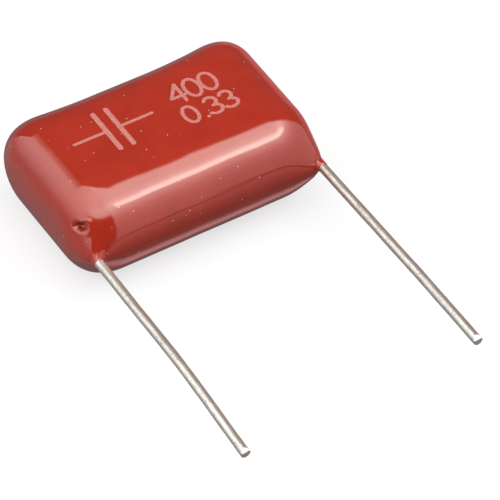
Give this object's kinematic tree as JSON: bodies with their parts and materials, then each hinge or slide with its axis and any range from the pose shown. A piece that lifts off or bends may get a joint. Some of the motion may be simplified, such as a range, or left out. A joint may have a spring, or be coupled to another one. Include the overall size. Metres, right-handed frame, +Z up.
{
  "type": "dipped film capacitor",
  "caption": "Radial film capacitor with a glossy red dipped epoxy coating, lying on its broad side, and two straight tinned leads out of one long side.",
  "frame": {"origin": "middle of the flat underside of the coating, which the part lies on", "axes": "+X along the lead pitch towards the right lead, +Y away from the leads, +Z up through the body's thickness"},
  "size_m": [0.0225, 0.0381, 0.0087],
  "materials": {
    "epoxy": "gloss",
    "tinned_wire": "satin",
    "metallised_film": "satin",
    "sprayed_metal": "matte",
    "solder": "satin"
  },
  "bodies": {
    "root": {"epoxy_coating": "epoxy", "lead_left": "tinned_wire", "lead_right": "tinned_wire", "film_winding": "metallised_film", "end_spray_left": "sprayed_metal", "end_spray_right": "sprayed_metal", "solder_joint_left": "solder", "solder_joint_right": "solder"}
  },
  "joints": []
}
